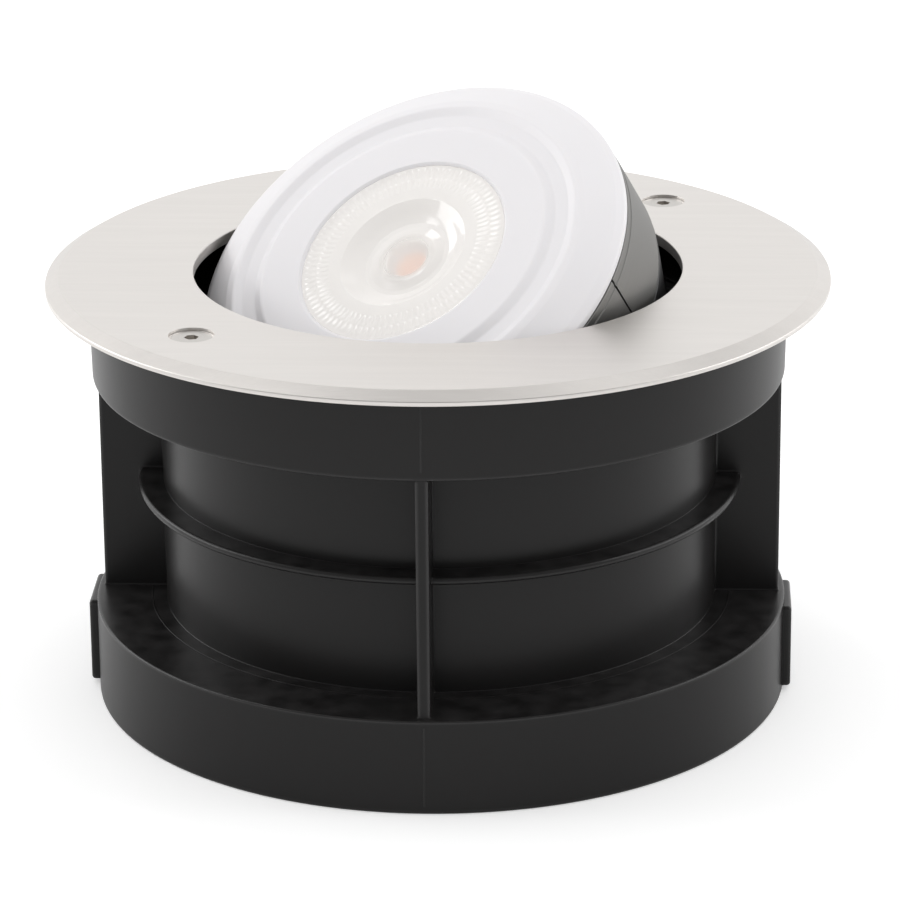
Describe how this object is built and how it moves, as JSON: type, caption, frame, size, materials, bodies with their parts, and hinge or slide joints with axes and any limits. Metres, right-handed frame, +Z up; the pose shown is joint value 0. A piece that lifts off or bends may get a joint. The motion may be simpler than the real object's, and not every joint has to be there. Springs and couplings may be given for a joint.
{
  "type": "in-ground light",
  "caption": "Round recessed ground light: ribbed pot, steel cover ring and a lamp that pans and tilts out of the ring.",
  "frame": {"origin": "centre of the pot's underside, where it stands in its pit", "axes": "+Z up along the axis of the pot and ring; the radial fins lie on X and Y and the cable entries on X"},
  "size_m": [0.19, 0.19, 0.143],
  "materials": {
    "black_plastic": "moulded polypropylene, satin",
    "stainless": "brushed stainless steel",
    "zinc_steel": "zinc plated steel",
    "spring_steel": "spring steel, as rolled",
    "coated_steel": "black powder coat",
    "sleeve_steel": "satin grey steel",
    "rubber": "moulded EPDM",
    "brass": "turned brass",
    "nickel": "nickel plated brass",
    "cast_aluminium": "die cast, coated",
    "opal_plastic": "opal polycarbonate",
    "clear_plastic": "clear acrylic, fluted",
    "white_plastic": "polyamide",
    "grey_plastic": "moulded lamp base",
    "board": "glass epoxy board",
    "led_board": "white lacquered metal core",
    "phosphor": "phosphor in silicone",
    "dark_plastic": "coated component",
    "ceramic": "steatite ceramic"
  },
  "bodies": {
    "pot_assembly": {"ground_pot": "black_plastic", "base_plate": "black_plastic", "cover_ring": "stainless", "ring_gasket": "rubber", "ring_screw_1": "stainless", "ring_screw_2": "stainless", "threaded_insert_1": "brass", "threaded_insert_2": "brass", "snap_ring": "spring_steel", "cable_seal_left": "rubber", "cable_seal_right": "rubber", "terminal_block": "white_plastic", "terminal_screw_1": "nickel", "terminal_screw_2": "nickel", "terminal_screw_3": "nickel", "plate_screw_1": "zinc_steel", "plate_screw_2": "zinc_steel", "plate_screw_3": "zinc_steel", "plate_screw_4": "zinc_steel"},
    "swivel": {"swivel_frame": "coated_steel"},
    "lamp_head": {"lamp_sleeve": "sleeve_steel", "pivot_stud_1": "zinc_steel", "pivot_stud_2": "zinc_steel", "pivot_washer_1": "zinc_steel", "pivot_washer_2": "zinc_steel", "pivot_nut_1": "zinc_steel", "pivot_nut_2": "zinc_steel", "heat_sink": "cast_aluminium", "diffuser_cover": "opal_plastic", "lens": "clear_plastic", "led_chip": "phosphor", "led_board": "led_board", "board_screw_1": "zinc_steel", "board_screw_2": "zinc_steel", "driver_board": "board", "driver_capacitor": "dark_plastic", "driver_choke": "dark_plastic", "lamp_base": "grey_plastic", "contact_pin_1": "nickel", "contact_pin_2": "nickel", "lampholder": "ceramic", "holder_cover": "grey_plastic"}
  },
  "joints": [
    {"name": "pan", "type": "hinge", "parent": "pot_assembly", "child": "swivel", "pos_m": [0, 0, 0.0964], "axis": [0, 0, 1], "range_deg": [-175, 175]},
    {"name": "tilt", "type": "hinge", "parent": "swivel", "child": "lamp_head", "pos_m": [0, 0, 0.0964], "axis": [0.7912, -0.6115, 0], "range_deg": [-37.1, 2.9]}
  ]
}
